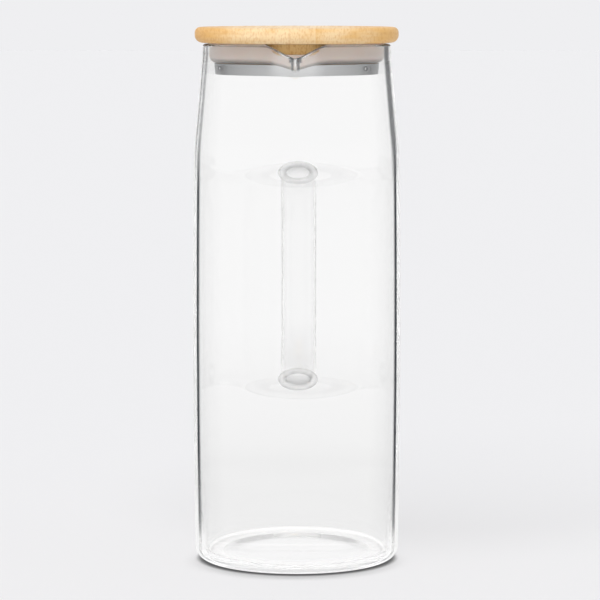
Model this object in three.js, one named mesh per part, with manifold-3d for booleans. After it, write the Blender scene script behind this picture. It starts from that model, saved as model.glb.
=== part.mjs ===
// A glass jug with a hollow oval handle, a pinched pouring lip and a bamboo lid.
// Millimetres, +Z up, the origin at the middle of the resting face. The lip points along -Y, the handle along +Y.
import * as THREE from "three";
import { mergeVertices } from "three/addons/utils/BufferGeometryUtils.js";
import Module from "manifold-3d";

const wasm = await Module();
wasm.setup();

// The clearance of touching pieces and the overrun of cuts
const seatGap = 0.3;
const cutOverrun = 1;

// Glass wall: a faint barrel, a soft shoulder, a tapering neck and a thickened rim
const bodyRadius = 52.5;
const bodyNarrowing = 0.7;
const bodyWidestHeight = 112;
const shoulderHeight = 206;
const shoulderInset = 0.6;
const shoulderRounding = 1;
const neckDrawIn = 4.6;
const rimHeight = 261.2;
const rimThickness = 3;
const rimBeadHeight = 5;
const wallThickness = 2.2;
const baseThickness = 3.2;
const heelRadius = 6.5;
const innerHeelRadius = 5;
const footThickening = 2.4;
const footThickeningHeight = 40;
const footThickeningPower = 1;

// Pouring lip, pinched out of the rim and fading out down the neck
const lipReach = 8.5;
const lipHalfWidth = 25;
const lipDip = 5.7;
const lipDipHalfWidth = 16.5;
const lipTipRadius = 3;
const lipFall = 30;
const lipReachPower = 2;
const lipDipPower = 1.2;
const lipFadePower = 2.5;

// Handle, a hollow oval tube fused to the wall at both ends
const handleWidth = 19.6;
const handleDepth = 11;
const handleWall = 1.6;
const handleTopHeight = 193.2;
const handleBottomHeight = 84.8;
const fingerGap = 33;
const handleBendRadius = 30;
const jointFlare = 0.9;
const jointFlareLength = 5;

// Lid: a disc over the rim, and under it a plug that holds a seal and a band
const discOverhang = 3.9;
const discThickness = 7.8;
const discRimGap = 0.6;
const discTopRound = 2.8;
const discBottomRound = 3.8;
const sealThickness = 5.2;
const sealHeight = 9.7;
const sealRoundHeight = 4.1;
const sealRoundDepth = 3.7;
const sealReliefEdge = 0.7;
const sealReliefHalfWidth = 21;
const plugFootPlay = 3.7;
const bandThickness = 0.5;
const bandHeight = 5.4;
const bandTaper = 0.5;
const bandOverhang = 0.6;
const rivetCount = 3;
const rivetHeadRadius = 1.25;
const rivetHeadHeight = 0.5;
const rivetShankRadius = 0.6;
const rivetShankLength = 4;
const rivetDrop = 2.2;
const firstRivetDegrees = 85;

// Facets
const wallSides = 76;
const lipCrowdingShare = 0.72;
const barrelRows = 4;
const shoulderRows = 4;
const neckRows = 7;
const neckCrowdingPower = 1.6;
const discSides = 60;
const arcSteps = 4;
const rimSteps = 6;
const handleSides = 16;
const handleBendSteps = 7;
const handleLineSteps = 3;
const rivetSides = 10;

// Sizes that follow from those above
const half = 1 / 2;
const shoulderRadius = bodyRadius - shoulderInset;
const rimRadius = shoulderRadius - neckDrawIn;
const coneTop = rimHeight - rimBeadHeight;
const mouthRadius = rimRadius - rimThickness;
const footRadius = outerRadius(heelRadius);
const discRadius = rimRadius + discOverhang;
const discBottom = rimHeight + discRimGap;
const sealRadius = mouthRadius - seatGap;
const sealBoreRadius = sealRadius - sealThickness;
const sealTop = discBottom - seatGap;
const sealBottom = sealTop - sealHeight;
const plugCoreRadius = sealBoreRadius - seatGap;
const plugFootRadius = mouthRadius - plugFootPlay;
const plugFootTop = sealBottom - seatGap;
const bandTop = plugFootTop;
const bandBottom = bandTop - bandHeight;
const plugBottom = bandBottom + bandOverhang;

const finishes = {
  glass: new THREE.MeshStandardMaterial({ color: 0xe9eeee, roughness: 0.02, metalness: 0 }),
  bamboo: new THREE.MeshStandardMaterial({ color: 0xe6c48c, roughness: 0.55, metalness: 0 }),
  darkBamboo: new THREE.MeshStandardMaterial({ color: 0xc9a063, roughness: 0.6, metalness: 0 }),
  silicone: new THREE.MeshStandardMaterial({ color: 0xd5c8c0, roughness: 0.6, metalness: 0 }),
  steel: new THREE.MeshStandardMaterial({ color: 0xb4b6b8, roughness: 0.3, metalness: 1 }),
};

function at(radius, height) {
  return new THREE.Vector2(radius, height);
}

function mix(from, to, share) {
  return from + (to - from) * share;
}

function clampedShare(value) {
  return Math.min(1, Math.max(0, value));
}

// Eases from 0 to 1.
function smooth(value) {
  const share = clampedShare(value);
  return share * share * (3 - 2 * share);
}

// The smaller of two lengths, with the corner between them rounded over the given width.
function roundedMin(a, b, rounding) {
  const share = clampedShare(half + (half * (b - a)) / rounding);
  return mix(b, a, share) - rounding * half * share * (1 - share);
}

// Points of an elliptic arc in a profile, both ends included.
function arc(centre, across, up, fromDegrees, toDegrees, steps = arcSteps) {
  const points = [];
  for (let i = 0; i <= steps; i++) {
    const angle = THREE.MathUtils.degToRad(mix(fromDegrees, toDegrees, i / steps));
    points.push(at(centre.x + across * Math.cos(angle), centre.y + up * Math.sin(angle)));
  }
  return points;
}

// Turns a profile of radii and heights about the Z axis.
function revolve(profile, sides) {
  const made = new THREE.LatheGeometry(profile, sides);
  made.rotateX(Math.PI * half);
  return made;
}

// Moves every corner of a geometry by a function of its place.
function reshape(geometry, move) {
  const position = geometry.getAttribute("position");
  const point = new THREE.Vector3();
  for (let i = 0; i < position.count; i++) {
    point.fromBufferAttribute(position, i);
    move(point);
    position.setXYZ(i, point.x, point.y, point.z);
  }
  return geometry;
}

function toSolid(geometry) {
  const bare = geometry.clone();
  bare.deleteAttribute("normal");
  bare.deleteAttribute("uv");
  const merged = mergeVertices(bare);
  const vertProperties = merged.getAttribute("position").array;
  const triVerts = new Uint32Array(merged.index.array);
  return new wasm.Manifold(new wasm.Mesh({ numProp: 3, vertProperties, triVerts }));
}

function toGeometry(solid) {
  const mesh = solid.getMesh();
  const made = new THREE.BufferGeometry();
  made.setAttribute("position", new THREE.BufferAttribute(mesh.vertProperties, 3));
  made.setIndex(new THREE.BufferAttribute(mesh.triVerts, 1));
  made.computeVertexNormals();
  return made;
}

function piece(name, geometry, finish) {
  const mesh = new THREE.Mesh(geometry, finish);
  mesh.name = name;
  return mesh;
}

// The radius of the outer wall at a height.
function outerRadius(height) {
  const away = (height - bodyWidestHeight) / (shoulderHeight - bodyWidestHeight);
  const barrel = bodyRadius - bodyNarrowing * away * away;
  const taper = (shoulderRadius - rimRadius) / (coneTop - shoulderHeight);
  const cone = rimRadius + taper * (coneTop - height);
  return roundedMin(barrel, cone, shoulderRounding);
}

// The radius of the inner wall at a height. The glass thickens towards the floor.
function innerRadius(height) {
  const low = clampedShare(1 - (height - baseThickness) / footThickeningHeight);
  return outerRadius(height) - wallThickness - footThickening * Math.pow(low, footThickeningPower);
}

// Heights of the rings of the wall, closer together towards the lip.
function wallHeights() {
  const innerHeelTop = baseThickness + innerHeelRadius;
  const shoulderFrom = mix(innerHeelTop, shoulderHeight, 1 - 1 / barrelRows);
  const shoulderTo = mix(shoulderHeight, coneTop, 1 / shoulderRows);
  const heights = [];
  for (let i = 0; i < barrelRows; i++) heights.push(mix(innerHeelTop, shoulderFrom, i / barrelRows));
  for (let i = 0; i < shoulderRows; i++) heights.push(mix(shoulderFrom, shoulderTo, i / shoulderRows));
  for (let i = 0; i <= neckRows; i++) {
    const share = 1 - Math.pow(1 - i / neckRows, neckCrowdingPower);
    heights.push(mix(shoulderTo, coneTop, share));
  }
  return heights;
}

// Up the outside from the middle of the underside, over the rim and down the inside to the floor.
function glassProfile() {
  const heel = at(footRadius - heelRadius, heelRadius);
  const beadRound = rimThickness * half;
  const bead = at(rimRadius - beadRound, rimHeight - beadRound);
  const innerHeelTop = baseThickness + innerHeelRadius;
  const innerHeel = at(innerRadius(innerHeelTop) - innerHeelRadius, innerHeelTop);
  const heights = wallHeights();
  const inwards = [...heights].reverse();
  return [
    at(0, 0),
    ...arc(heel, heelRadius, heelRadius, -90, 0),
    ...heights.map((height) => at(outerRadius(height), height)),
    ...arc(bead, beadRound, beadRound, 0, 180, rimSteps),
    ...inwards.map((height) => at(innerRadius(height), height)),
    ...arc(innerHeel, innerHeelRadius, innerHeelRadius, 0, -90).slice(1),
    at(0, baseThickness),
  ];
}

// 1 in the middle and 0 from the half width outwards, with straight flanks that meet in a round.
function pinch(side, halfWidth) {
  const away = Math.hypot(side, lipTipRadius) - lipTipRadius;
  const whole = Math.hypot(halfWidth, lipTipRadius) - lipTipRadius;
  return clampedShare(1 - away / whole);
}

// Pulls the wall out and its top edge down into the lip.
function pullLip(point) {
  if (point.y >= 0) return;
  const faded = Math.pow(clampedShare(1 - (rimHeight - point.z) / lipFall), lipFadePower);
  const reach = Math.pow(pinch(point.x, lipHalfWidth), lipReachPower);
  const dip = Math.pow(pinch(point.x, lipDipHalfWidth), lipDipPower);
  point.y -= lipReach * reach * faded;
  point.z -= lipDip * dip * faded;
}

// Slides the corners of each ring round towards the lip, where the wall bends most.
function crowdTowardsLip(point) {
  const radius = Math.hypot(point.x, point.y);
  const angle = Math.atan2(point.x, -point.y);
  const moved = angle - lipCrowdingShare * Math.sin(angle);
  point.x = radius * Math.sin(moved);
  point.y = -radius * Math.cos(moved);
}

function makeGlassBody() {
  const made = revolve(glassProfile(), wallSides);
  reshape(made, crowdTowardsLip);
  reshape(made, pullLip);
  return piece("glass_body", made, finishes.glass);
}

// The middle line of the handle, as distances from the axis and heights.
function handleRoute() {
  const start = outerRadius(handleTopHeight) + seatGap;
  const end = outerRadius(handleBottomHeight) + seatGap;
  const run = bodyRadius + fingerGap + handleDepth * half;
  const tallest = (handleTopHeight - handleBottomHeight) * half;
  const bend = Math.min(handleBendRadius, run - Math.max(start, end), tallest);
  const route = new THREE.Path();
  route.moveTo(start, handleTopHeight);
  route.lineTo(run - bend, handleTopHeight);
  route.absarc(run - bend, handleTopHeight - bend, bend, Math.PI * half, 0, true);
  route.lineTo(run, handleBottomHeight + bend);
  route.absarc(run - bend, handleBottomHeight + bend, bend, 0, -Math.PI * half, true);
  route.lineTo(end, handleBottomHeight);
  return route;
}

// Places along the route, each with its direction.
function handleStations() {
  const stations = [];
  for (const curve of handleRoute().curves) {
    const steps = curve.type === "LineCurve" ? handleLineSteps : handleBendSteps;
    const first = stations.length > 0 ? 1 : 0;
    for (let i = first; i <= steps; i++) {
      stations.push({ place: curve.getPoint(i / steps), along: curve.getTangent(i / steps) });
    }
  }
  return stations;
}

// One oval ring of the tube. It widens a little where the tube runs into the wall.
function handleRing({ place, along }, inset) {
  const offWall = place.x - outerRadius(place.y) - seatGap;
  const flare = jointFlare * (1 - smooth(offWall / jointFlareLength));
  const ring = [];
  for (let i = 0; i < handleSides; i++) {
    const angle = (2 * Math.PI * i) / handleSides;
    const across = (handleWidth * half + flare - inset) * Math.cos(angle);
    const out = (handleDepth * half + flare * half - inset) * Math.sin(angle);
    ring.push(new THREE.Vector3(across, place.x - along.y * out, place.y + along.x * out));
  }
  return ring;
}

// Lays an end ring against the round wall, the seat gap off it.
function seatOnWall(ring) {
  for (const point of ring) {
    const wall = outerRadius(point.z) + seatGap;
    point.y = Math.sqrt(wall * wall - point.x * point.x);
  }
}

function handleSkin(stations, inset) {
  const rings = stations.map((station) => handleRing(station, inset));
  seatOnWall(rings[0]);
  seatOnWall(rings[rings.length - 1]);
  return rings;
}

// The outer skin runs down the tube and the inner one back up, so that the loop of rings closes on itself.
function makeHandle() {
  const stations = handleStations();
  const rings = [...handleSkin(stations, 0), ...handleSkin(stations, handleWall).reverse()];
  const index = [];
  for (let row = 0; row < rings.length; row++) {
    const next = (row + 1) % rings.length;
    for (let i = 0; i < handleSides; i++) {
      const beside = (i + 1) % handleSides;
      const a = row * handleSides + i;
      const b = row * handleSides + beside;
      const c = next * handleSides + beside;
      const d = next * handleSides + i;
      index.push(a, c, b, a, d, c);
    }
  }
  const made = new THREE.BufferGeometry().setFromPoints(rings.flat());
  made.setIndex(index);
  made.computeVertexNormals();
  return piece("handle", made, finishes.glass);
}

function makeDisc() {
  const top = discBottom + discThickness;
  const lower = at(discRadius - discBottomRound, discBottom + discBottomRound);
  const upper = at(discRadius - discTopRound, top - discTopRound);
  const profile = [
    at(0, discBottom),
    ...arc(lower, discBottomRound, discBottomRound, -90, 0),
    ...arc(upper, discTopRound, discTopRound, 0, 90),
    at(0, top),
  ];
  return piece("lid_disc", revolve(profile, discSides), finishes.bamboo);
}

// How far the band and the foot of the plug have drawn in at a height.
function bandDrawnIn(height) {
  return (bandTaper * (bandTop - height)) / bandHeight;
}

// Lays a shape that was made along +Z at its rivet's place, with +Z turned outwards.
function placeAtRivet(geometry, index) {
  const height = bandTop - rivetDrop;
  const seat = plugFootRadius + seatGap + bandThickness + seatGap - bandDrawnIn(height);
  geometry.rotateY(Math.PI * half);
  geometry.translate(seat, 0, height);
  geometry.rotateZ(THREE.MathUtils.degToRad(firstRivetDegrees + (index * 360) / rivetCount));
  return geometry;
}

function makeRivet(index) {
  const profile = [
    at(0, -rivetShankLength),
    at(rivetShankRadius, -rivetShankLength),
    at(rivetShankRadius, 0),
    ...arc(at(0, 0), rivetHeadRadius, rivetHeadHeight, 0, 90),
  ];
  const made = placeAtRivet(revolve(profile, rivetSides), index);
  return piece(`rivet_${index + 1}`, made, finishes.steel);
}

// The hole that a rivet's shank needs, with a clearance all round.
function rivetHole(index) {
  const radius = rivetShankRadius + seatGap;
  const profile = [
    at(0, -rivetShankLength - seatGap),
    at(radius, -rivetShankLength - seatGap),
    at(radius, cutOverrun),
    at(0, cutOverrun),
  ];
  return toSolid(placeAtRivet(revolve(profile, rivetSides), index));
}

function drilledForRivets(geometry) {
  let solid = toSolid(geometry);
  for (let i = 0; i < rivetCount; i++) solid = solid.subtract(rivetHole(i));
  return toGeometry(solid);
}

function makePlug() {
  const profile = [
    at(0, plugBottom),
    at(plugFootRadius - bandDrawnIn(plugBottom), plugBottom),
    at(plugFootRadius, plugFootTop),
    at(plugCoreRadius, plugFootTop),
    at(plugCoreRadius, discBottom - seatGap),
    at(0, discBottom - seatGap),
  ];
  return piece("lid_plug", drilledForRivets(revolve(profile, discSides)), finishes.darkBamboo);
}

function makeBand() {
  const bore = plugFootRadius + seatGap;
  const outside = bore + bandThickness;
  const profile = [
    at(bore, bandTop),
    at(bore - bandTaper, bandBottom),
    at(outside - bandTaper, bandBottom),
    at(outside, bandTop),
    at(bore, bandTop),
  ];
  return piece("steel_band", drilledForRivets(revolve(profile, discSides)), finishes.steel);
}

// Towards the lip the top edge of the seal dips, so that the plug behind it shows.
function dipSeal(point) {
  if (point.y >= 0) return;
  const root = sealBottom + sealRoundHeight;
  const depth = sealTop - root - sealReliefEdge;
  const share = 1 - smooth(Math.abs(point.x) / sealReliefHalfWidth);
  point.z -= depth * share * clampedShare((point.z - root) / (sealTop - root));
}

function makeSeal() {
  const roundCentre = at(sealRadius - sealRoundDepth, sealBottom + sealRoundHeight);
  const profile = [
    at(sealBoreRadius, sealTop),
    at(sealBoreRadius, sealBottom + sealRoundHeight),
    at(sealBoreRadius, sealBottom),
    ...arc(roundCentre, sealRoundDepth, sealRoundHeight, -90, 0),
    at(sealRadius, sealTop),
    at(sealBoreRadius, sealTop),
  ];
  const made = reshape(revolve(profile, discSides), dipSeal);
  return piece("seal_ring", made, finishes.silicone);
}

const jug = new THREE.Group();
jug.add(makeGlassBody());
jug.add(makeHandle());

const lid = new THREE.Group();
lid.add(makeDisc());
lid.add(makePlug());
lid.add(makeSeal());
lid.add(makeBand());
for (let i = 0; i < rivetCount; i++) lid.add(makeRivet(i));

const model = new THREE.Group();
model.add(jug);
model.add(lid);

export default model;
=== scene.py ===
"""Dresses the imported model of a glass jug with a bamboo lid, on a pale floor in plain light."""
import math
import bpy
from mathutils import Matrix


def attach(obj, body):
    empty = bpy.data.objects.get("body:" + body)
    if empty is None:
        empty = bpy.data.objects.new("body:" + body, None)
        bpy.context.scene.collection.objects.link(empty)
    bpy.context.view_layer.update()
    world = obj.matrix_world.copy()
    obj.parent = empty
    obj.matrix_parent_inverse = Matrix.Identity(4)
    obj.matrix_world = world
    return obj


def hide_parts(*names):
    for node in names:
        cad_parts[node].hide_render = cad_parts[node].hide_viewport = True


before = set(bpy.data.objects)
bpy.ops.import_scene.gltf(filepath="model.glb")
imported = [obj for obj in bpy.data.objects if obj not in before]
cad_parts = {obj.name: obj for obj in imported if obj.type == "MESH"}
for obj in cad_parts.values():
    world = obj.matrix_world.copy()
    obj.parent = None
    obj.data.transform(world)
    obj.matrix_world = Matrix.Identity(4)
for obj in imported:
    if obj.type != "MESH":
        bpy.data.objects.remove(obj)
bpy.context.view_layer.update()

from types import SimpleNamespace

import bmesh
import bpy
from bpy.props import FloatProperty, FloatVectorProperty, IntProperty, PointerProperty
from mathutils import Euler, Matrix, Vector

bl_info = {
    "name": "Glass jug with a bamboo lid",
    "version": (1, 0, 0),
    "blender": (4, 5, 0),
    "location": "3D View > Sidebar > Jug",
    "description": "Builds a glass jug with a bamboo lid in a pale studio",
    "category": "Object",
}

MILLIMETRE = 0.001
HALF = 0.5
MERGE_DISTANCE = 0.000001

# Levels of painted shade and painted glow by how a surface is seen, from face on at 0 to edge on at 1.
BODY_SHADE = [
    (0, 0), (0.3, 0), (0.46, 0.05), (0.56, 0.1), (0.64, 0.12), (0.67, 0.6), (0.69, 1), (0.725, 1),
    (0.74, 0.6), (0.755, 0.1), (0.77, 0), (1, 0),
]
LEFT_NECK_SHADE = [
    (0, 0), (0.35, 0), (0.64, 0.1), (0.67, 0.5), (0.7, 0.62), (0.73, 0.3), (0.78, 0.2), (0.81, 0.6),
    (0.84, 0.6), (0.87, 0), (1, 0),
]
RIGHT_NECK_SHADE = [
    (0, 0), (0.35, 0), (0.6, 0.1), (0.62, 0.4), (0.65, 0.8), (0.74, 0.8), (0.79, 0.35), (0.84, 0.05), (1, 0),
]
HOLLOW_SHADE = [(0, 0), (0.45, 0.02), (0.7, 0.25), (0.85, 0.5), (1, 0.5)]
FOOT_GLOW = [
    (0, 0), (0.54, 0), (0.6, 0.85), (0.65, 0.85), (0.67, 0.25), (0.735, 0.25), (0.755, 0.85), (0.9, 0.85),
    (0.96, 0.2), (1, 0),
]
OUTER_GLOW = [(0, 0), (0.73, 0), (0.77, 0.85), (0.9, 0.85), (1, 0.6)]
STEEL_PAINTED_SHADE_RAMP = [(0, 0), (0.02, 0.05), (0.07, 0.3), (0.25, 0.46), (0.45, 0.68), (0.56, 0.92), (1, 1)]
RIVET_PAINTED_SHADE_RAMP = [(0, 0), (0.05, 0), (0.12, 0.7), (0.3, 1), (1, 1)]

# Levels of the studio from straight below at 0 to straight above at 1.
STUDIO_LEVELS = [
    (0, 0.8), (0.3, 0.85), (0.4, 0.87), (0.411, 0.83), (0.419, 0.865), (0.432, 0.915), (0.444, 0.955),
    (0.6, 0.96), (0.8, 0.9), (1, 0.8),
]

# Ramps that place painted shade and painted glow on the glass: two places in metres, then the levels there where
# they aren't 0 and 1.
RIGHT_HALF = (-0.01, 0.01)
BACK_HALF = (0, 0.01)
FRONT_HALF = (-0.01, 0, 1, 0)
NECK_RISE = (0.185, 0.22)
BEHIND_HANDLE = (0.013, 0.019, 1, 0)
FOOT_FADE = (0.008, 0.022, 0, 0.76)
BODY_FADE = (0.022, 0.06, 0, 0.22)
HEEL_LINE_SIDES = (0.02, 0.046, 0.08, 0.75)
SPOT_RISE = (0.2524, 0.2534)
FOLD_RISE = (0.2485, 0.25)
BEAK_DEPTH = (-0.045, -0.043, 0.95, 0)
RIM_AT_LIP = (0.013, 0.019, 0.6, 0.3)
RIM_AT_SIDES = (0.036, 0.042, 0, 0.65)
LOW_GLOW = (0.009, 0.027, 1, 0)
HIGH_GLOW = (0.018, 0.07, 1, 0)
HEEL_GLOW = (0.0035, 0.007, 0.42, 0)
WIDE_LIP_GLOW = (0.007, 0.013, 0.2, 0)
NARROW_LIP_GLOW = (0.0003, 0.0009, 0.5, 0)
LIP_DEPTH = (-0.035, -0.025, 1, 0)
LIP_RISE = (0.244, 0.252)
ARC_RISE = (0.0033, 0.0041, 0.3, 0.75)
ARC_FALL = (0.0043, 0.0051, 1, 0)
ARC_RADIUS = (0.034, 0.039)
ARC_MIDDLE = (0.024, 0.03)
ARC_BOOST = (*ARC_RADIUS, 1.6, 1)
ARC_HALF_WIDTH = (0.004, 0.022, 1, 0)

# Places in metres between which a level of painted shade rises and then falls, and the level between where it isn't
# 1.
HEEL_LINE = (0.0026, 0.0031, 0.0035, 0.0042)
SPOT_WIDTH = (0.0005, 0.0011, 0.0026, 0.0036)
FOLD_WIDTH = (0.0007, 0.0012, 0.0018, 0.0024, 0.85)

# The edge of the jug on the floor in metres, and how open the floor is where its two painted shadows end.
JUG_EDGE = (0.0515, 0.0535)
CONTACT_PAINTED_SHADOW = (0.1, 0.9)
FRONT_PAINTED_SHADOW = (0.2, 0.8, 0.55)

# Spots of noise per metre across, along and up.
GLASS_WAVES = (26, 26, 9)
BAMBOO_FLECKS = (1300, 14, 640)
BAMBOO_STREAKS = (90, 5, 420)
BAMBOO_CLOUDS = (38, 6, 110)
SILICONE_CLOUDS = (60, 60, 120)
SILICONE_SKIN = (2600, 2600, 2600)
STEEL_SCRATCHES = (12, 12, 5200)
STEEL_PATCHES = (70, 70, 300)

# Ramps over the bamboo in metres, and over a strip's width for its edge.
# The first deepens the colour towards the left and right ends of the lid as painted shade.
PAINTED_SHADE_ASIDE = (0.016, 0.052)
STRIP_EDGE = (0.486, 0.496)
FIBRES_AT_LEFT = (-0.05, -0.028, 0.2, 0)

# The first is the colour of the painted glow in thick glass.
PAINTED_GLOW_GLASS = (0.96, 0.96, 0.96)
CLEAR_GLASS = (0.99, 0.99, 0.99)
FLOOR_UNDER_GLASS = (0.965, 0.96, 0.965)
WHITE = (1, 1, 1)


def length(description, millimetres):
    """A property for a length, with its default in millimetres."""
    default = millimetres * MILLIMETRE
    return FloatProperty(description=description, default=default, precision=5, subtype="DISTANCE", unit="LENGTH")


def share(description, default):
    """A property for a plain number."""
    return FloatProperty(description=description, default=default)


def degrees(description, default):
    """A property for an angle, with its default in degrees."""
    return FloatProperty(description=description, default=math.radians(default), subtype="ANGLE", unit="ROTATION")


def count(description, default):
    """A property for a number of facets or copies."""
    return IntProperty(description=description, default=default, min=1)


def linear(level):
    """The scene's own value for a screen level from 0 to 255."""
    level /= 255
    return level / 12.92 if level <= 0.04045 else ((level + 0.055) / 1.055) ** 2.4


def colour(description, *levels):
    """A property for a colour, with its default in screen levels."""
    default = tuple(linear(level) for level in levels)
    return FloatVectorProperty(description=description, default=default, min=0, max=1, size=3, subtype="COLOR")


class JugGlassSizes(bpy.types.PropertyGroup):
    """The wall, the rim and the pouring lip."""

    body_radius: length("Outside radius of the wall at its widest", 52.48)
    body_narrowing: length("How much the wall draws in from its widest to the shoulder", 0.7)
    widest_height: length("Where the wall is widest", 112)
    shoulder_height: length("Where the neck starts to taper", 206)
    shoulder_inset: length("How far the shoulder lies inside the widest wall", 0.6)
    shoulder_rounding: length("Softness of the bend at the shoulder", 1)
    neck_draw_in: length("How far the neck draws in from the shoulder to the rim", 4.6)
    rim_height: length("Height of the rim", 261.2)
    rim_thickness: length("Thickness of the rounded rim", 3)
    # The faces in this share carry the rim's painted dark line.
    rim_share: share("Share of the rim's thickness, from its top, that is darkened as the rim", 0.35)
    rim_bead_height: length("Height over which the wall thickens into the rim", 5)
    wall_thickness: length("Thickness of the wall", 2.2)
    base_thickness: length("Thickness of the floor of the jug", 3.2)
    heel_radius: length("Rounding between the wall and the resting face", 6.5)
    push_up: length("How far the underside is domed up inside its resting ring", 0.45)
    push_up_radius: length("Radius inside which the underside is domed up", 41.5)
    inner_heel_radius: length("Rounding between the wall and the floor inside", 5)
    heel_thickening: length("How much thicker the wall is at the floor", 2.4)
    heel_thickening_height: length("Height over which the wall thickens", 40)
    lip_reach: length("How far the lip stands out", 8.3)
    lip_half_width: length("Half the width over which the lip stands out", 25)
    lip_dip: length("How far the rim dips at the lip", 6.1)
    lip_dip_half_width: length("Half the width of the dip", 14.5)
    lip_tip_radius: length("Rounding at the bottom of the dip", 3)
    lip_fall: length("Height over which the lip fades into the neck", 30)
    lip_reach_power: share("How sharply the lip narrows to its tip", 2)
    lip_dip_power: share("How sharply the dip narrows to its bottom", 1.3)
    lip_fade_power: share("How quickly the lip fades down the neck", 2.5)
    beak_reach: length("How much of the reach is in the narrow beak at the tip", 3.4)
    beak_half_width: length("Half the width of the narrow beak", 2.3)
    beak_fall: length("Height over which the beak fades into the lip", 16)
    lip_thickening: length("How much thicker the glass is behind the lip", 2)
    sides: count("Facets round the wall", 400)
    outward_limit: share("How far a face has to turn outwards to count as the outside", 0.25)
    lip_crowding: share("How much closer the facets stand at the lip", 0.72)


class JugHandleSizes(bpy.types.PropertyGroup):
    """The hollow handle behind the jug."""

    width: length("Width of the oval tube", 19.6)
    depth: length("Depth of the oval tube", 11)
    wall: length("Thickness of the tube's glass", 1.6)
    top_height: length("Height of the upper joint", 193.2)
    bottom_height: length("Height of the lower joint", 84.8)
    finger_gap: length("Room between the wall and the handle", 33)
    bend_radius: length("Radius of the two bends", 30)
    joint_flare: length("How much wider the tube is at its joints", 0.9)
    joint_flare_length: length("Length over which the tube widens", 5)
    joint_gap: length("Room between the tube's ends and the wall", 0.05)
    joint_thickening: length("How much thicker the glass is at the joints", 2)
    joint_thickening_length: length("Length over which the glass thickens", 7)
    sides: count("Facets round the tube", 56)


class JugLidSizes(bpy.types.PropertyGroup):
    """The lid and what it carries."""

    gap: length("Room between the lid's pieces, and from the seal to the glass", 0.3)
    disc_overhang: length("How far the disc reaches past the rim", 3.9)
    disc_thickness: length("Thickness of the disc", 7.8)
    disc_rim_gap: length("Room between the disc and the rim", 0.6)
    disc_top_round: length("Rounding of the disc's upper edge", 2.8)
    disc_bottom_round: length("Rounding of the disc's lower edge", 3.8)
    seal_thickness: length("Thickness of the seal", 5.2)
    seal_height: length("Height from the seal's foot to the disc", 9.7)
    seal_drop: length("How far the seal's top lies below the disc", 0.05)
    seal_skirt: length("How far the seal hangs down in front of the band at the lip", 3.2)
    seal_skirt_half_width: length("Half the width of the skirt", 18)
    seal_skirt_play: length("Room between the band and the skirt", 0.1)
    seal_skirt_start: length("Width over which the skirt reaches its full drop", 0.35)
    seal_edge: length("Width of the cut along the seal's upper edge", 0.1)
    seal_round_height: length("Height of the seal's lower rounding", 4.1)
    seal_round_depth: length("Depth of the seal's lower rounding", 3.7)
    seal_relief_edge: length("What is left of the seal above its rounding at the lip", 0.7)
    seal_relief_half_width: length("Half the width of the seal's dip", 15.6)
    seal_relief_slope: length("Width of each slope of the seal's dip", 8)
    plug_foot_play: length("Room between the plug's foot and the mouth", 3.7)
    band_thickness: length("Thickness of the steel band", 0.5)
    band_height: length("Height of the steel band", 5.4)
    band_taper: length("How much the band draws in towards its lower edge", 0.5)
    band_overhang: length("How far the band stands below the plug", 0.6)
    rivet_head_radius: length("Radius of a rivet's head", 1.25)
    rivet_head_height: length("Height of a rivet's head", 0.8)
    rivet_shank_radius: length("Radius of a rivet's shank", 0.6)
    rivet_shank_length: length("Length of a rivet's shank", 4)
    rivet_drop: length("How far the rivets lie below the band's upper edge", 2.2)
    rivet_count: count("Number of rivets round the band", 3)
    rivet_sides: count("Facets round a rivet", 32)
    first_rivet: degrees("Angle of the first rivet from +X", 85)
    sides: count("Facets round the lid", 192)


class JugFinishes(bpy.types.PropertyGroup):
    """Colours and grain of the materials."""

    glass_tint: colour("Colour of light that has passed through the glass", 254, 254, 254)
    # Painted shade: the dark colour mixed into the glass for its edge lines, rim line, lip spots and hollow.
    painted_edge_shade: colour("Colour of the glass where it is seen edge on", 62, 66, 70)
    leak: share("Share of the light inside the glass that gets out at each bounce", 0.16)
    # Painted glow of the thick glass: its emission strength.
    gathered: share("Light that thick glass gives off where it gathers it", 0.14)
    bamboo_light: colour("Ground between the fibres", 248, 220, 176)
    bamboo_deep: colour("Deeper strips and bands", 234, 186, 114)
    bamboo_fibre: colour("Cut ends and runs of fibres", 212, 154, 88)
    plug_light: colour("Ground of the plug", 244, 212, 150)
    plug_deep: colour("Deeper strips of the plug", 230, 184, 110)
    plug_fibre: colour("Fibres in the plug", 190, 120, 52)
    # Painted shade for the seal's downward-facing faces.
    silicone_painted_shade: colour("Colour of the seal's underside", 96, 88, 82)
    silicone: colour("Colour of the seal", 204, 190, 180)
    steel: colour("Colour of the band and rivets", 232, 233, 234)
    # Painted shade: the steel and the rivets darken towards these colours where they turn away from the eye.
    steel_painted_shade: colour("Colour of the steel where it turns away from the eye", 84, 85, 86)
    rivet_painted_shade: colour("Colour of a rivet where it turns away from the eye", 64, 65, 68)
    strip_width: length("Width of the bamboo's strips", 19.7)
    strip_joint: length("Where one joint between strips lies, along X", -29.5)


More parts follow.
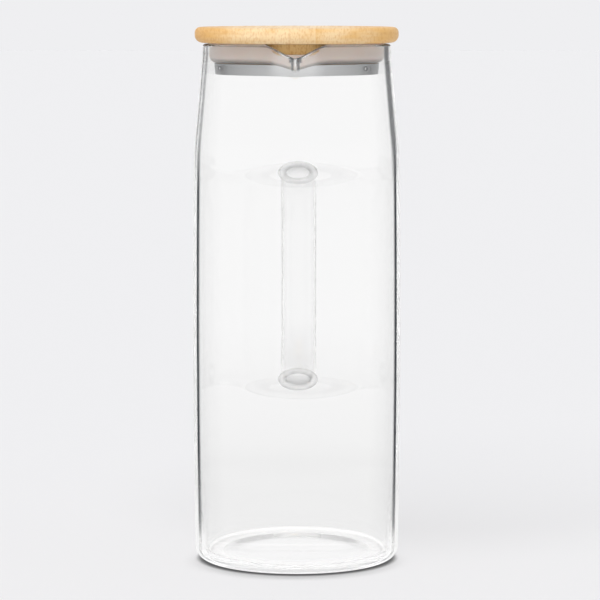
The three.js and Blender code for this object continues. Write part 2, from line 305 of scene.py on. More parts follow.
class JugStageSizes(bpy.types.PropertyGroup):
    """The camera, the floor and the light."""

    camera_distance: length("Distance of the camera in front of the jug", 1525.3)
    camera_height: length("Height of the camera", 290.7)
    camera_aside: length("How far the camera stands to the right", 1.66)
    camera_turn: degrees("How far the camera stands round to the right", 0.7)
    camera_pitch: degrees("How far the camera looks down", 5.946)
    camera_reach: length("How far the camera sees", 500000)
    lens: share("Focal length in millimetres on a 36 mm sensor", 181.67)
    floor_radius: length("Radius of the floor", 12000)
    floor_drop: length("How far the floor lies below the jug", 0.2)
    backdrop: colour("Colour of the floor and backdrop", 239, 239, 241)
    sky_level: share("Plain light from all round", 0.57)
    sun_level: share("Light of the soft lamp in front", 1.6)
    fill_level: share("Light of the low soft lamp in front, which reaches under the lid", 0.5)
    fill_height: degrees("Height of the low lamp above the horizon", 2.5)
    sun_height: degrees("Height of the soft lamp above the horizon", 55)
    sun_aside: degrees("How far the soft lamp stands to the left", 22)
    sun_width: degrees("Softness of the lamp", 50)


def worked_out(operation):
    """A method that puts a value, and any others, through a Math node."""
    return lambda self, *others: self.math(operation, self, *others)


class Wire:
    """A shader output that sums can be written with. Each sum adds a Math node."""

    __add__ = worked_out("ADD")
    __sub__ = worked_out("SUBTRACT")
    __mul__ = worked_out("MULTIPLY")
    __truediv__ = worked_out("DIVIDE")
    __pow__ = worked_out("POWER")
    __abs__ = worked_out("ABSOLUTE")
    larger = worked_out("MAXIMUM")
    floor = worked_out("FLOOR")
    fraction = worked_out("FRACT")

    def __init__(self, maker, node, output=None):
        shown = [socket for socket in node.outputs if socket.enabled]
        self.maker = maker
        self.node = node
        self.socket = next(socket for socket in shown if output in (None, socket.name))

    def out(self, name):
        return Wire(self.maker, self.node, name)

    def math(self, operation, *values):
        return self.maker.add("Math", *values, settings={"operation": operation})

    def __rsub__(self, other):
        return self.math("SUBTRACT", other, self)

    def ramped(self, low, high, start=0.0, end=1.0):
        """Eases from start to end as the value goes from low to high."""
        settings = {"interpolation_type": "SMOOTHSTEP"}
        return self.maker.add("MapRange", self, low, high, start, end, settings=settings)

    def within(self, rise_from, rise_to, fall_from, fall_to, level=1.0):
        """Rises between two places and falls back to 0 between two others."""
        return self.ramped(rise_from, rise_to) * self.ramped(fall_from, fall_to, level, 0.0)


class ShaderMaker:
    """Adds nodes to the tree of a material or a world."""

    def __init__(self, owner):
        owner.use_nodes = True
        self.tree = owner.node_tree
        self.tree.nodes.clear()

    def add(self, kind, *ordered, settings=None, **named):
        """A new node with the values or wires of its sockets, in order or by name."""
        node = self.tree.nodes.new("ShaderNode" + kind)
        for key, value in (settings or {}).items():
            if key == "stops":
                self.set_stops(node.color_ramp.elements, value)
            else:
                setattr(node, key, value)
        sockets = [socket for socket in node.inputs if socket.enabled]
        for socket, value in zip(sockets, ordered):
            self.feed(socket, value)
        for name, value in named.items():
            spaced = name.replace("_", " ")
            self.feed(next(socket for socket in sockets if socket.name == spaced), value)
        return Wire(self, node) if node.outputs else node

    def set_stops(self, elements, stops):
        for _ in stops[2:]:
            elements.new(1.0)
        for element, (place, value) in zip(elements, stops):
            element.position = place
            element.color = (value, value, value, 1)

    def feed(self, socket, value):
        if isinstance(value, Wire):
            self.tree.links.new(value.socket, socket)
        elif socket.type == "RGBA":
            socket.default_value = (*value, 1)
        else:
            socket.default_value = value

    def blend(self, factor, low, high):
        """One colour turning into another."""
        return self.add("Mix", settings={"data_type": "RGBA"}, Factor=factor, A=low, B=high)

    def place(self):
        """Where a point is on the object: across, along and up."""
        return self.add("TexCoord").out("Object")

    def parts(self, vector):
        split = self.add("SeparateXYZ", vector)
        return [split.out(axis) for axis in "XYZ"]

    def noise(self, vector, scales, detail=2.0):
        """Soft noise from 0 to 1, with its own number of spots per metre along each axis."""
        scaled = self.add("Mapping", Vector=vector, Scale=scales)
        return self.add("TexNoise", Vector=scaled, Scale=1.0, Detail=detail).out("Fac")

    def bump(self, height, distance, strength=1.0):
        return self.add("Bump", Height=height, Distance=distance, Strength=strength)

    def finish(self, surface, output="OutputMaterial"):
        self.add(output, Surface=surface)


def new_material(name):
    return ShaderMaker(bpy.data.materials.new(name))


def facing(maker, stops):
    """A level that changes from face on to edge on."""
    edge_on = maker.add("LayerWeight", Blend=HALF).out("Facing")
    return maker.add("ValToRGB", edge_on, settings={"stops": stops})


def from_outside(maker):
    """1 where the surface is seen from the air and 0 from within the glass."""
    return 1 - maker.add("NewGeometry").out("Backfacing")


def edge_shade(maker, stops):
    """A level that changes from face on to edge on, for glass that is seen from outside."""
    return facing(maker, stops) * from_outside(maker)


def wall_shade(maker):
    """Painted shade: thin dark lines where the wall is seen nearly edge on, a fine grey line round the heel and the
    lip's marks.

    The dark lines fade at the foot and double in the neck. They leave out the wall between the handle and the
    inside, which is only seen through the handle's joints.
    """
    across, along, height = maker.parts(maker.place())
    right = across.ramped(*RIGHT_HALF)
    upper = height.ramped(*NECK_RISE)
    behind = abs(across).ramped(*BEHIND_HANDLE) * along.ramped(*BACK_HALF)
    neck = edge_shade(maker, LEFT_NECK_SHADE) * (1 - right) + edge_shade(maker, RIGHT_NECK_SHADE) * right
    faded = height.ramped(*FOOT_FADE) + height.ramped(*BODY_FADE)
    body = edge_shade(maker, BODY_SHADE) * faded * (1 - behind)
    heel = height.within(*HEEL_LINE) * abs(across).ramped(*HEEL_LINE_SIDES) * from_outside(maker)
    return (body * (1 - upper) + neck * upper).larger(beak_shade(maker)).larger(heel)


def beak_shade(maker):
    """Painted shade: two dark spots at the tip of the lip, and dark lines down the folds that run from them."""
    across, along, height = maker.parts(maker.place())
    side = abs(across)
    spots = side.within(*SPOT_WIDTH) * height.ramped(*SPOT_RISE)
    folds = side.within(*FOLD_WIDTH) * height.ramped(*FOLD_RISE)
    return spots.larger(folds) * along.ramped(*BEAK_DEPTH) * from_outside(maker)


def rim_shade(maker):
    """A painted dark line of shade along the rim, strongest at the lip and where the rim turns away at the sides.
    """
    across, along, _ = maker.parts(maker.place())
    side = abs(across)
    line = side.ramped(*RIM_AT_LIP) * along.ramped(*FRONT_HALF)
    return line.larger(side.ramped(*RIM_AT_SIDES)).larger(beak_shade(maker)) * from_outside(maker)


def hollow_shade(maker):
    """Painted soft grey shade where the hollow of the handle is seen edge on."""
    return edge_shade(maker, HOLLOW_SHADE)


def wall_glow(maker):
    """Painted glow, standing in for light that the thick glass gathers: at the sides of the foot, round the heel
    and in the lip, with a painted highlight down the lip's middle.
    """
    across, along, height = maker.parts(maker.place())
    side = abs(across)
    low = edge_shade(maker, FOOT_GLOW) * height.ramped(*LOW_GLOW)
    high = edge_shade(maker, OUTER_GLOW) * height.ramped(*HIGH_GLOW)
    lip = side.ramped(*WIDE_LIP_GLOW).larger(side.ramped(*NARROW_LIP_GLOW))
    lip = lip * along.ramped(*LIP_DEPTH) * height.ramped(*LIP_RISE)
    return low.larger(high).larger(height.ramped(*HEEL_GLOW).larger(lip) * from_outside(maker))


def heel_glow(maker):
    """Painted glow, standing in for light that the thick glass gathers in an arc round the floor, brightest in the
    middle of its back.
    """
    across, along, height = maker.parts(maker.place())
    radius = (across * across + along * along) ** HALF
    arc_height = height.ramped(*ARC_RISE) * height.ramped(*ARC_FALL)
    middle = radius.ramped(*ARC_MIDDLE) * radius.ramped(*ARC_BOOST)
    middle = middle * abs(across).ramped(*ARC_HALF_WIDTH) * along.ramped(*BACK_HALF)
    return arc_height * radius.ramped(*ARC_RADIUS).larger(middle) * from_outside(maker)


def make_glass(name, finishes, shade=None, glow=None, mirror=1.0):
    """Clear glass with the faint waves of blown ware, and painted shade and painted glow mixed in where given.

    Light passes straight through it, and a share of what is caught inside leaks out at each bounce.
    """
    maker = new_material(name)
    waves = maker.noise(maker.place(), GLASS_WAVES, 1.0)
    surface = maker.add(
        "BsdfPrincipled",
        Base_Color=finishes.glass_tint,
        Roughness=0.0,
        IOR=1.47,
        Transmission_Weight=1.0,
        Normal=maker.bump(waves, distance=0.0004, strength=0.06),
    )
    if shade:
        # Painted shade: a dark matt surface mixed in by the shade's level.
        dark = maker.add("BsdfDiffuse", Color=finishes.painted_edge_shade)
        surface = maker.add("MixShader", shade(maker), surface, dark)
    if glow:
        # Painted glow: an emitting pale surface mixed in by the glow's level; as a mirror it adds painted
        # reflection.
        painted_glow_surface = maker.add(
            "BsdfPrincipled",
            Base_Color=PAINTED_GLOW_GLASS,
            Metallic=mirror,
            Roughness=0.08,
            Specular_IOR_Level=0.0,
            Emission_Color=WHITE,
            Emission_Strength=finishes.gathered,
        )
        surface = maker.add("MixShader", glow(maker), surface, painted_glow_surface)
    path = maker.add("LightPath")
    light = path.out("Is Shadow Ray").larger(path.out("Is Diffuse Ray"))
    leak = maker.add("NewGeometry").out("Backfacing") * finishes.leak
    clear = maker.add("BsdfTransparent", Color=CLEAR_GLASS)
    maker.finish(maker.add("MixShader", light.larger(leak), surface, clear))


def make_bamboo(name, finishes, light, deep, fibre, roughness):
    """Bamboo strips whose fibres run front to back, so that their cut ends show at the front."""
    maker = new_material(name)
    place = maker.place()
    across, _, _ = maker.parts(place)
    strips = (across - finishes.strip_joint) / finishes.strip_width
    tone = maker.add("TexWhiteNoise", settings={"noise_dimensions": "1D"}, W=strips.floor()).out("Value")
    fleck = maker.noise(place, BAMBOO_FLECKS, 3.0).ramped(0.44, 0.68)
    streak = maker.noise(place, BAMBOO_STREAKS, 3.0)
    broad = maker.noise(place, BAMBOO_CLOUDS)
    # Painted shade: the colour deepens towards the left and right ends of the lid.
    aside = abs(across).ramped(*PAINTED_SHADE_ASIDE)
    depth = (tone * 0.4 + streak * 1.1 + broad * 1.3 + aside - 1.15).ramped(0, 1)
    ground = maker.blend(depth, light, deep)
    edge = abs(strips.fraction() - HALF).ramped(*STRIP_EDGE)
    marks = (fleck * 0.38).larger(edge * 0.2) + across.ramped(*FIBRES_AT_LEFT)
    surface = maker.add(
        "BsdfPrincipled",
        Base_Color=maker.blend(marks, ground, fibre),
        Roughness=marks * 0.2 + roughness,
        Specular_IOR_Level=0.25,
        Normal=maker.bump(streak - fleck * 0.6, distance=0.0001, strength=0.2),
    )
    maker.finish(surface)


def make_silicone(finishes):
    """Cloudy silicone with a fine matt skin, and painted shade on faces that turn downwards."""
    maker = new_material("cloudy_silicone")
    cloud = maker.noise(maker.place(), SILICONE_CLOUDS)
    skin = maker.noise(maker.place(), SILICONE_SKIN, 1.0)
    darker = [level * 0.9 for level in finishes.silicone]
    # Painted shade on faces that turn downwards.
    _, _, upwards = maker.parts(maker.add("NewGeometry").out("Normal"))
    underside = upwards.ramped(-0.8, -0.25, 0.75, 0.0)
    surface = maker.add(
        "BsdfPrincipled",
        Base_Color=maker.blend(underside, maker.blend(cloud, finishes.silicone, darker), finishes.silicone_painted_shade),
        Roughness=cloud * 0.15 + 0.4,
        Subsurface_Weight=0.25,
        Subsurface_Scale=0.002,
        Normal=maker.bump(skin, distance=0.00002, strength=0.3),
    )
    maker.finish(surface)


def make_steel(name, finishes, stops, dark, roughness):
    """Brushed stainless steel, with painted shade that darkens its colour where it turns away from the eye."""
    maker = new_material(name)
    place = maker.place()
    scratches = maker.noise(place, STEEL_SCRATCHES, 3.0)
    patches = maker.noise(place, STEEL_PATCHES, 1.0)
    darker = [level * 0.8 for level in finishes.steel]
    brushed = maker.blend(scratches, finishes.steel, darker)
    surface = maker.add(
        "BsdfPrincipled",
        # Painted shade: the colour darkens where the steel turns away from the eye.
        Base_Color=maker.blend(facing(maker, stops), brushed, dark),
        Metallic=1.0,
        Roughness=scratches * 0.16 + patches * 0.1 + roughness,
        Normal=maker.bump(scratches, distance=0.00002, strength=0.3),
    )
    maker.finish(surface)


def mix(low, high, share_of_way):
    return low + (high - low) * share_of_way


def clamped(value):
    return min(1.0, max(0.0, value))


def smooth(value):
    """Eases from 0 to 1."""
    value = clamped(value)
    return value * value * (3 - 2 * value)


def rounded_min(first, second, rounding):
    """The smaller of two lengths, with the corner between them rounded."""
    way = clamped(HALF + HALF * (second - first) / rounding)
    return mix(second, first, way) - rounding * HALF * way * (1 - way)


def arc(across, up, radius, start, end, steps, height_radius=None):
    """Points of an arc in a profile of radii and heights, both ends included. Angles are in degrees."""
    tall = radius if height_radius is None else height_radius
    angles = [math.radians(mix(start, end, i / steps)) for i in range(steps + 1)]
    return [(across + radius * math.cos(angle), up + tall * math.sin(angle)) for angle in angles]


def rim_radius(glass):
    return glass.body_radius - glass.shoulder_inset - glass.neck_draw_in


def mouth_radius(glass):
    return rim_radius(glass) - glass.rim_thickness


def outer_radius(glass, height):
    """The radius of the wall's outside at a height."""
    away = (height - glass.widest_height) / (glass.shoulder_height - glass.widest_height)
    barrel = glass.body_radius - glass.body_narrowing * away * away
    cone_top = glass.rim_height - glass.rim_bead_height
    taper = glass.neck_draw_in / (cone_top - glass.shoulder_height)
    cone = rim_radius(glass) + taper * (cone_top - height)
    return rounded_min(barrel, cone, glass.shoulder_rounding)


def spun(points, steps, closed=False):
    """Turns a profile of radii and heights about the Z axis into a closed skin."""
    made = bmesh.new()
    corners = [made.verts.new((radius, 0, height)) for radius, height in points]
    edges = [made.edges.new(pair) for pair in zip(corners, corners[1:])]
    if closed:
        edges.append(made.edges.new((corners[-1], corners[0])))
    bmesh.ops.spin(made, geom=corners + edges, axis=(0, 0, 1), angle=math.tau, steps=steps, use_merge=True)
    bmesh.ops.remove_doubles(made, verts=made.verts, dist=MERGE_DISTANCE)
    bmesh.ops.recalc_face_normals(made, faces=made.faces)
    return made


def add_piece(made, name, body, materials, slot, *nodes, sharp=35):
    """Turns a bmesh into a piece that rides on a body and stands for its CAD nodes."""
    mesh = bpy.data.meshes.new(name)
    made.to_mesh(mesh)
    made.free()
    mesh.shade_smooth()
    mesh.set_sharp_from_angle(angle=math.radians(sharp))
    for material in materials:
        mesh.materials.append(bpy.data.materials[material])
    piece = bpy.data.objects.new(name, mesh)
    bpy.context.scene.collection.objects.link(piece)
    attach(piece, body)
    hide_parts(*nodes)


def wall_heights(glass):
    """Heights of the rings of the wall, closest together in the heel and below the rim."""
    low = glass.base_thickness + glass.inner_heel_radius
    thick = glass.base_thickness + glass.heel_thickening_height
    high = glass.rim_height - glass.rim_bead_height
    fall = glass.rim_height - 2 * glass.lip_fall
    foot_rings, body_rings, lip_rings, crowding = 20, 16, 56, 1.3
    heights = [mix(low, thick, i / foot_rings) for i in range(foot_rings)]
    heights += [mix(thick, fall, i / body_rings) for i in range(body_rings)]
    ways = [1 - (1 - i / lip_rings) ** crowding for i in range(lip_rings + 1)]
    return heights + [mix(fall, high, way) for way in ways]


def inner_radius(glass, height):
    """The radius of the wall's inside at a height, where the wall thickens towards the floor."""
    low = clamped(1 - (height - glass.base_thickness) / glass.heel_thickening_height)
    return outer_radius(glass, height) - glass.wall_thickness - glass.heel_thickening * low


def glass_profile(glass):
    """From the middle of the underside up the outside, over the rim and down the inside to the floor."""
    foot = outer_radius(glass, glass.heel_radius) - glass.heel_radius
    bead = glass.rim_thickness * HALF
    bead_centre = (rim_radius(glass) - bead, glass.rim_height - bead)
    heights = wall_heights(glass)
    floor, inner_top = glass.base_thickness, heights[0]
    inner_foot = inner_radius(glass, inner_top) - glass.inner_heel_radius
    dome = [glass.push_up_radius * i / 12 for i in range(13)]
    return [
        *[(radius, glass.push_up * smooth(3 * (1 - radius / glass.push_up_radius))) for radius in dome],
        (foot - MILLIMETRE, 0),
        *arc(foot, glass.heel_radius, glass.heel_radius, -90, 0, 20),
        *[(outer_radius(glass, height), height) for height in heights],
        *arc(*bead_centre, bead, 0, 180, 16),
        *[(inner_radius(glass, height), height) for height in reversed(heights)],
        *arc(inner_foot, inner_top, glass.inner_heel_radius, 0, -90, 10)[1:],
        (inner_foot - MILLIMETRE, floor), (inner_foot * HALF, floor), (0, floor),
    ]


def pinch(side, half_width, tip):
    """1 in the middle and 0 from the half width outwards, with straight flanks that meet in a round."""
    away = math.hypot(side, tip) - tip
    whole = math.hypot(half_width, tip) - tip
    return clamped(1 - away / whole)


def crowd_towards_lip(glass, point):
    """Slides a corner round towards the lip, where the wall bends most."""
    radius = math.hypot(point.x, point.y)
    angle = math.atan2(point.x, -point.y)
    angle -= glass.lip_crowding * math.sin(angle)
    point.x = radius * math.sin(angle)
    point.y = -radius * math.cos(angle)


def pull_lip(glass, point):
    """Pulls the wall out and its top edge down into the lip."""
    if point.y >= 0:
        return
    inside = clamped((outer_radius(glass, point.z) - math.hypot(point.x, point.y)) / glass.wall_thickness)
    wide_reach = glass.lip_reach - glass.beak_reach - glass.lip_thickening * inside
    faded = clamped(1 - (glass.rim_height - point.z) / glass.lip_fall) ** glass.lip_fade_power
    reach = pinch(point.x, glass.lip_half_width, glass.lip_tip_radius) ** glass.lip_reach_power
    dip = pinch(point.x, glass.lip_dip_half_width, glass.lip_tip_radius) ** glass.lip_dip_power
    narrow = HALF + HALF * math.cos(math.pi * clamped(abs(point.x) / glass.beak_half_width))
    beak = glass.beak_reach * narrow * smooth(1 - (glass.rim_height - point.z) / glass.beak_fall)
    point.y -= wide_reach * reach * faded + beak
    point.z -= glass.lip_dip * dip * faded


def bend_stations(run, height, bend, start, steps):
    """Places along a quarter turn, each with its direction. The start is in degrees."""
    stations = []
    for i in range(steps):
        angle = math.radians(start - 90 * i / steps)
        place = (run - bend + bend * math.cos(angle), height + bend * math.sin(angle))
        stations.append((place, (math.sin(angle), -math.cos(angle))))
    return stations


def handle_stations(glass, handle):
    """Places (distance from the axis, height) along the handle's middle line, each with its direction."""
    top, bottom = handle.top_height, handle.bottom_height
    run = glass.body_radius + handle.finger_gap + handle.depth * HALF
    bend = handle.bend_radius
    start = outer_radius(glass, top) + handle.joint_gap
    end = outer_radius(glass, bottom) + handle.joint_gap
    line_steps, bend_steps, run_steps = 16, 24, 10
    stations = [((mix(start, run - bend, i / line_steps), top), (1, 0)) for i in range(line_steps)]
    stations += bend_stations(run, top - bend, bend, 90, bend_steps)
    for i in range(run_steps):
        stations.append(((run, mix(top - bend, bottom + bend, i / run_steps)), (0, -1)))
    stations += bend_stations(run, bottom + bend, bend, 0, bend_steps)
    return stations + [((mix(run - bend, end, i / line_steps), bottom), (-1, 0)) for i in range(line_steps + 1)]


def handle_ring(glass, handle, station, inner):
    """The matrix that lays a unit circle as one oval ring of the tube's outer or inner skin."""
    (out, height), (along_out, along_up) = station
    off_wall = out - outer_radius(glass, height) - handle.joint_gap
    flare = handle.joint_flare * (1 - smooth(off_wall / handle.joint_flare_length))
    across = handle.width * HALF + flare
    thick = handle.depth * HALF + flare * HALF
    if inner:
        extra = handle.joint_thickening * (1 - smooth(off_wall / handle.joint_thickening_length))
        across -= handle.wall + extra + flare
        thick -= handle.wall + extra * HALF + flare * HALF
    turned = Matrix(((1, 0, 0), (0, -along_up, along_out), (0, along_out, along_up)))
    return Matrix.Translation((0, out, height)) @ turned.to_4x4() @ Matrix.Diagonal((across, thick, 1, 1))


class JugOperator(bpy.types.Operator):
    """Shared by the operators that make the pieces."""

    bl_options = {"REGISTER", "UNDO"}


class MakeWall(JugOperator):
    """Makes the glass wall with its base, rim and pouring lip"""

    bl_idname = "jug.make_wall"
    bl_label = "Glass Wall"

    def execute(self, context):
        glass = context.scene.jug_glass
        made = spun(glass_profile(glass), glass.sides)
        rim = glass.rim_height - glass.rim_thickness * glass.rim_share
        for face in made.faces:
            middle = face.calc_center_median()
            inwards = middle.xy.normalized().dot(face.normal.xy) < glass.outward_limit
            # Faces at the top of the rim carry the painted dark rim line.
            face.material_index = 2 if middle.z > rim else int(inwards)
        for vert in made.verts:
            crowd_towards_lip(glass, vert.co)
            pull_lip(glass, vert.co)
        add_piece(made, "wall", "jug", ["wall_glass", "plain_glass", "rim_glass"], "glass", "glass_body", sharp=180)
        return {"FINISHED"}


class MakeHandle(JugOperator):
    """Makes the hollow oval handle"""

    bl_idname = "jug.make_handle"
    bl_label = "Glass Handle"

    def execute(self, context):
        glass = context.scene.jug_glass
        handle = context.scene.jug_handle
        stations = handle_stations(glass, handle)
        rings = [handle_ring(glass, handle, station, False) for station in stations]
        rings += [handle_ring(glass, handle, station, True) for station in reversed(stations)]
        made = bmesh.new()
        first = bmesh.ops.create_circle(made, segments=handle.sides, radius=1, matrix=rings[0])["verts"]
        edges = first_edges = list(made.edges)
        seated = list(first)
        for index in range(1, len(rings)):
            grown = bmesh.ops.extrude_edge_only(made, edges=edges)["geom"]
            verts = [item for item in grown if isinstance(item, bmesh.types.BMVert)]
            bmesh.ops.transform(made, matrix=rings[index] @ rings[index - 1].inverted(), verts=verts)
            edges = [item for item in grown if isinstance(item, bmesh.types.BMEdge)]
            edges = [edge for edge in edges if all(vert in verts for vert in edge.verts)]
            for face in (item for item in grown if isinstance(item, bmesh.types.BMFace)):
                face.material_index = int(index > len(stations))
            if index in (len(stations) - 1, len(stations), len(rings) - 1):
                seated += verts
        bmesh.ops.bridge_loops(made, edges=edges + first_edges)
        for vert in seated:
            wall = outer_radius(glass, vert.co.z) + handle.joint_gap
            vert.co.y = math.sqrt(wall * wall - vert.co.x * vert.co.x)
        bmesh.ops.recalc_face_normals(made, faces=made.faces)
        add_piece(made, "glass_handle", "jug", ["plain_glass", "hollow_glass"], "glass", "handle", sharp=60)
        return {"FINISHED"}


def lid_sizes(scene):
    """The settings of the lid, and the heights and radii that its pieces share."""
    glass, lid = scene.jug_glass, scene.jug_lid
    disc_bottom = glass.rim_height + lid.disc_rim_gap
    seal_radius = mouth_radius(glass) - lid.gap
    seal_bottom = disc_bottom - lid.gap - lid.seal_height
    band_top = seal_bottom - lid.gap
    foot_radius = mouth_radius(glass) - lid.plug_foot_play
    band_bore = foot_radius + lid.gap
    return lid, SimpleNamespace(
        disc_bottom=disc_bottom,
        disc_radius=rim_radius(glass) + lid.disc_overhang,
        seal_radius=seal_radius,
        seal_bore=seal_radius - lid.seal_thickness,
        seal_top=disc_bottom - lid.seal_drop,
        seal_bottom=seal_bottom,
        band_top=band_top,
        band_bottom=band_top - lid.band_height,
        band_bore=band_bore,
        band_outside=band_bore + lid.band_thickness,
        foot_radius=foot_radius,
    )


class MakeDisc(JugOperator):
    """Makes the bamboo disc of the lid"""

    bl_idname = "jug.make_disc"
    bl_label = "Lid Disc"

    def execute(self, context):
        lid, levels = lid_sizes(context.scene)
        bottom, radius = levels.disc_bottom, levels.disc_radius
        top = bottom + lid.disc_thickness
        low, high = lid.disc_bottom_round, lid.disc_top_round
        profile = [
            (0, bottom), (radius - low - MILLIMETRE, bottom),
            *arc(radius - low, bottom + low, low, -90, 0, 14),
            *arc(radius - high, top - high, high, 0, 90, 14),
            (radius - high - MILLIMETRE, top), (0, top),
        ]
        made = spun(profile, lid.sides)
        add_piece(made, "bamboo_disc", "lid", ["bamboo_strips"], "bamboo", "lid_disc")
        return {"FINISHED"}


class MakePlug(JugOperator):
    """Makes the bamboo plug under the disc"""

    bl_idname = "jug.make_plug"
    bl_label = "Lid Plug"

    def execute(self, context):
        lid, levels = lid_sizes(context.scene)
        foot = levels.foot_radius
        bottom = levels.band_bottom + lid.band_overhang
        drawn = lid.band_taper * (levels.band_top - bottom) / lid.band_height
        core, seat, top = levels.seal_bore - lid.gap, levels.band_top, levels.disc_bottom - lid.gap
        profile = [(0, bottom), (foot - drawn, bottom), (foot, seat), (core, seat), (core, top), (0, top)]
        made = spun(profile, lid.sides)
        add_piece(made, "bamboo_plug", "lid", ["sanded_bamboo"], "dark_bamboo", "lid_plug")
        return {"FINISHED"}


class MakeSeal(JugOperator):
    """Makes the silicone seal, which dips towards the lip"""

    bl_idname = "jug.make_seal"
    bl_label = "Seal"

    def execute(self, context):
        lid, levels = lid_sizes(context.scene)
        bottom, top = levels.seal_bottom, levels.seal_top
        root = bottom + lid.seal_round_height
        bore, outside = levels.seal_bore, levels.seal_radius
        profile = [
            (bore, top), (bore, root), (bore, bottom),
            *arc(outside - lid.seal_round_depth, root, lid.seal_round_depth, -90, 0, 16, lid.seal_round_height),
            *[(outside, mix(root, top, i / 8)) for i in range(1, 8)],
            (outside, top - lid.seal_edge), (outside - lid.seal_edge, top),
        ]
        made = spun(profile, lid.sides, closed=True)
        depth = top - root - lid.seal_relief_edge
        skirt_bore = levels.band_outside + lid.seal_skirt_play
        for vert in made.verts:
            if vert.co.y < 0:
                side = abs(vert.co.x)
                dipped = smooth((lid.seal_relief_half_width - side) / lid.seal_relief_slope)
                skirt = (1 - clamped(side / lid.seal_skirt_half_width)) ** 2
                proud = smooth((vert.co.xy.length - skirt_bore) / lid.seal_skirt_start)
                low = clamped(2 * (root - vert.co.z) / lid.seal_round_height)
                vert.co.z -= depth * dipped * clamped((vert.co.z - root) / (top - root))
                vert.co.z -= lid.seal_skirt * skirt * proud * low
        add_piece(made, "silicone_seal", "lid", ["cloudy_silicone"], "silicone", "seal_ring", sharp=50)
        return {"FINISHED"}


class MakeBand(JugOperator):
    """Makes the tapered steel band"""

    bl_idname = "jug.make_band"
    bl_label = "Steel Band"

    def execute(self, context):
        lid, levels = lid_sizes(context.scene)
        bore, outside = levels.band_bore, levels.band_outside
        top, bottom = levels.band_top, levels.band_bottom
        taper = lid.band_taper
        profile = [(bore, top), (bore - taper, bottom), (outside - taper, bottom), (outside, top)]
        made = spun(profile, lid.sides, closed=True)
        add_piece(made, "band", "lid", ["brushed_steel"], "steel", "steel_band")
        return {"FINISHED"}


class MakeRivets(JugOperator):
    """Makes the rivets that hold the band"""

    bl_idname = "jug.make_rivets"
    bl_label = "Rivets"

    def execute(self, context):
        lid, levels = lid_sizes(context.scene)
        height = levels.band_top - lid.rivet_drop
        drawn = lid.band_taper * lid.rivet_drop / lid.band_height
        seat = levels.band_outside + lid.gap - drawn
        head = arc(0, 0, lid.rivet_head_radius, 0, 90, 10, lid.rivet_head_height)
        slim, deep = lid.rivet_shank_radius, -lid.rivet_shank_length
        shank = [(0, deep), (slim, deep), (slim, 0)]
        outwards = Matrix.Rotation(math.radians(90), 4, "Y")
        for index in range(lid.rivet_count):
            made = spun(shank + head, lid.rivet_sides)
            turn = Matrix.Rotation(lid.first_rivet + math.tau * index / lid.rivet_count, 4, "Z")
            move = turn @ Matrix.Translation((seat, 0, height)) @ outwards
            bmesh.ops.transform(made, matrix=move, verts=made.verts)
            node = f"rivet_{index + 1}"
            add_piece(made, f"steel_{node}", "lid", ["rivet_steel"], "steel", node)
        return {"FINISHED"}


class MakeMaterials(JugOperator):
    """Makes the materials of the jug and its lid"""

    bl_idname = "jug.make_materials"
    bl_label = "Materials"

    def execute(self, context):
        finishes = context.scene.jug_finishes
        # The glass carries painted shade lines and painted glow.
        make_glass("wall_glass", finishes, wall_shade, wall_glow)
        make_glass("rim_glass", finishes, rim_shade)
        make_glass("plain_glass", finishes, glow=heel_glow, mirror=0.0)
        make_glass("hollow_glass", finishes, hollow_shade)
        disc = (finishes.bamboo_light, finishes.bamboo_deep, finishes.bamboo_fibre)
        plug = (finishes.plug_light, finishes.plug_deep, finishes.plug_fibre)
        make_bamboo("bamboo_strips", finishes, *disc, roughness=0.42)
        make_bamboo("sanded_bamboo", finishes, *plug, roughness=0.6)
        make_silicone(finishes)
        make_steel("brushed_steel", finishes, STEEL_PAINTED_SHADE_RAMP, finishes.steel_painted_shade, roughness=0.2)
        make_steel("rivet_steel", finishes, RIVET_PAINTED_SHADE_RAMP, finishes.rivet_painted_shade, roughness=0.1)
        return {"FINISHED"}


def through_glass(path):
    """1 for what is seen in or through glass or metal."""
    return path.out("Is Glossy Ray").larger(path.out("Is Transmission Ray"))


def light_world(stage):
    """Even light from all round. Glass and metal see a pale studio instead, whose level changes with height."""
    world = bpy.data.worlds.new("studio")
    bpy.context.scene.world = world
    maker = ShaderMaker(world)
    _, _, up = maker.parts(maker.add("TexCoord").out("Generated"))
    levels = maker.add("ValToRGB", up * HALF + HALF, settings={"stops": STUDIO_LEVELS})
    path = maker.add("LightPath")
    plain = maker.add("Background", Color=WHITE, Strength=stage.sky_level)
    studio = maker.add("Background", Color=levels)
    backdrop = maker.add("Background", Color=stage.backdrop)
    lit = maker.add("MixShader", through_glass(path), plain, studio)
    maker.finish(maker.add("MixShader", path.out("Is Camera Ray"), lit, backdrop), "OutputWorld")


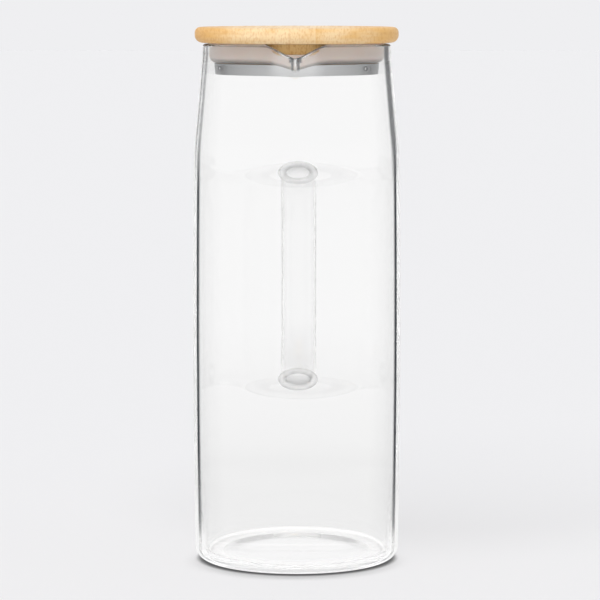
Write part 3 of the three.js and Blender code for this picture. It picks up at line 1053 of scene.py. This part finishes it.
def make_floor(stage):
    """A pale floor that takes the lamps' shadows, with the jug's contact shadow painted into its colour from
    ambient occlusion, reaching furthest in front. Glass and metal look past it at the studio, except under the jug.
    """
    maker = new_material("floor")
    samples = {"samples": 8}
    # Painted shadow: the floor's colour darkens where ambient occlusion finds the jug close, and further in front
    # of it.
    close = maker.add("AmbientOcclusion", settings=samples, Distance=0.0035).out("AO")
    towards_jug = maker.add("CombineXYZ", 0.0, 0.8, 0.6)
    front = maker.add("AmbientOcclusion", settings=samples, Distance=0.016, Normal=towards_jug).out("AO")
    shade = [level * 0.12 for level in stage.backdrop]
    lit = maker.blend(close.ramped(*CONTACT_PAINTED_SHADOW) * front.ramped(*FRONT_PAINTED_SHADOW), shade, stage.backdrop)
    matt = maker.add("BsdfDiffuse", Color=lit)
    clear = maker.add("BsdfTransparent")
    east, north, _ = maker.parts(maker.place())
    away = (east * east + north * north) ** HALF
    glow = maker.add("Emission", Color=FLOOR_UNDER_GLASS)
    past = maker.add("MixShader", away.ramped(*JUG_EDGE), glow, clear)
    maker.finish(maker.add("MixShader", through_glass(maker.add("LightPath")), matt, past))
    made = bmesh.new()
    bmesh.ops.create_circle(made, cap_ends=True, segments=64, radius=stage.floor_radius)
    bmesh.ops.translate(made, vec=(0, 0, -stage.floor_drop), verts=made.verts)
    mesh = bpy.data.meshes.new("floor")
    made.to_mesh(mesh)
    made.free()
    mesh.materials.append(bpy.data.materials["floor"])
    floor = bpy.data.objects.new("floor", mesh)
    bpy.context.scene.collection.objects.link(floor)


def add_lamp(name, level, height, aside, width):
    """A soft far lamp in front, which glass and metal don't mirror."""
    lamp = bpy.data.objects.new(name, bpy.data.lights.new(name, "SUN"))
    bpy.context.scene.collection.objects.link(lamp)
    lamp.data.energy = level
    lamp.data.angle = width
    lamp.rotation_euler = Euler((math.radians(90) - height, 0, -aside))
    lamp.visible_glossy = False
    lamp.visible_transmission = False


class MakeStage(JugOperator):
    """Makes the camera, the floor and the light"""

    bl_idname = "jug.make_stage"
    bl_label = "Stage"

    def execute(self, context):
        scene = context.scene
        stage = scene.jug_stage
        camera = bpy.data.objects.new("camera", bpy.data.cameras.new("camera"))
        scene.collection.objects.link(camera)
        turn = Matrix.Rotation(stage.camera_turn, 4, "Z")
        camera.location = turn @ Vector((stage.camera_aside, -stage.camera_distance, stage.camera_height))
        camera.rotation_euler = Euler((math.radians(90) - stage.camera_pitch, 0, stage.camera_turn))
        camera.data.lens = stage.lens
        camera.data.clip_end = stage.camera_reach
        scene.camera = camera
        add_lamp("soft_lamp", stage.sun_level, stage.sun_height, stage.sun_aside, stage.sun_width)
        add_lamp("low_lamp", stage.fill_level, stage.fill_height, 0, stage.sun_width)
        light_world(stage)
        make_floor(stage)
        scene.view_settings.view_transform = "Standard"
        scene.cycles.max_bounces = 32
        scene.cycles.transmission_bounces = 32
        scene.cycles.glossy_bounces = 16
        scene.cycles.transparent_max_bounces = 32
        return {"FINISHED"}


PIECE_OPERATORS = [MakeWall, MakeHandle, MakeDisc, MakePlug, MakeSeal, MakeBand, MakeRivets]
OPERATORS = [MakeStage, MakeMaterials, *PIECE_OPERATORS]


class JugPanel(bpy.types.Panel):
    """Lists the sizes, the colours and the operators"""

    bl_idname = "VIEW3D_PT_jug"
    bl_label = "Glass Jug"
    bl_space_type = "VIEW_3D"
    bl_region_type = "UI"
    bl_category = "Jug"

    def draw(self, context):
        layout = self.layout
        for attribute in SETTINGS:
            group = getattr(context.scene, attribute)
            column = layout.column(align=True)
            for name in group.__annotations__:
                column.prop(group, name, text=name.replace("_", " ").capitalize())
        for operator in OPERATORS:
            layout.operator(operator.bl_idname)


SETTINGS = {
    "jug_glass": JugGlassSizes,
    "jug_handle": JugHandleSizes,
    "jug_lid": JugLidSizes,
    "jug_finishes": JugFinishes,
    "jug_stage": JugStageSizes,
}


def register():
    for cls in (*SETTINGS.values(), *OPERATORS, JugPanel):
        bpy.utils.register_class(cls)
    for attribute, group in SETTINGS.items():
        setattr(bpy.types.Scene, attribute, PointerProperty(type=group))


def unregister():
    for attribute in SETTINGS:
        delattr(bpy.types.Scene, attribute)
    for cls in (JugPanel, *reversed(OPERATORS), *SETTINGS.values()):
        bpy.utils.unregister_class(cls)


def main():
    register()
    for operator in OPERATORS:
        getattr(bpy.ops.jug, operator.bl_idname.removeprefix("jug."))()


if __name__ == "__main__":
    main()
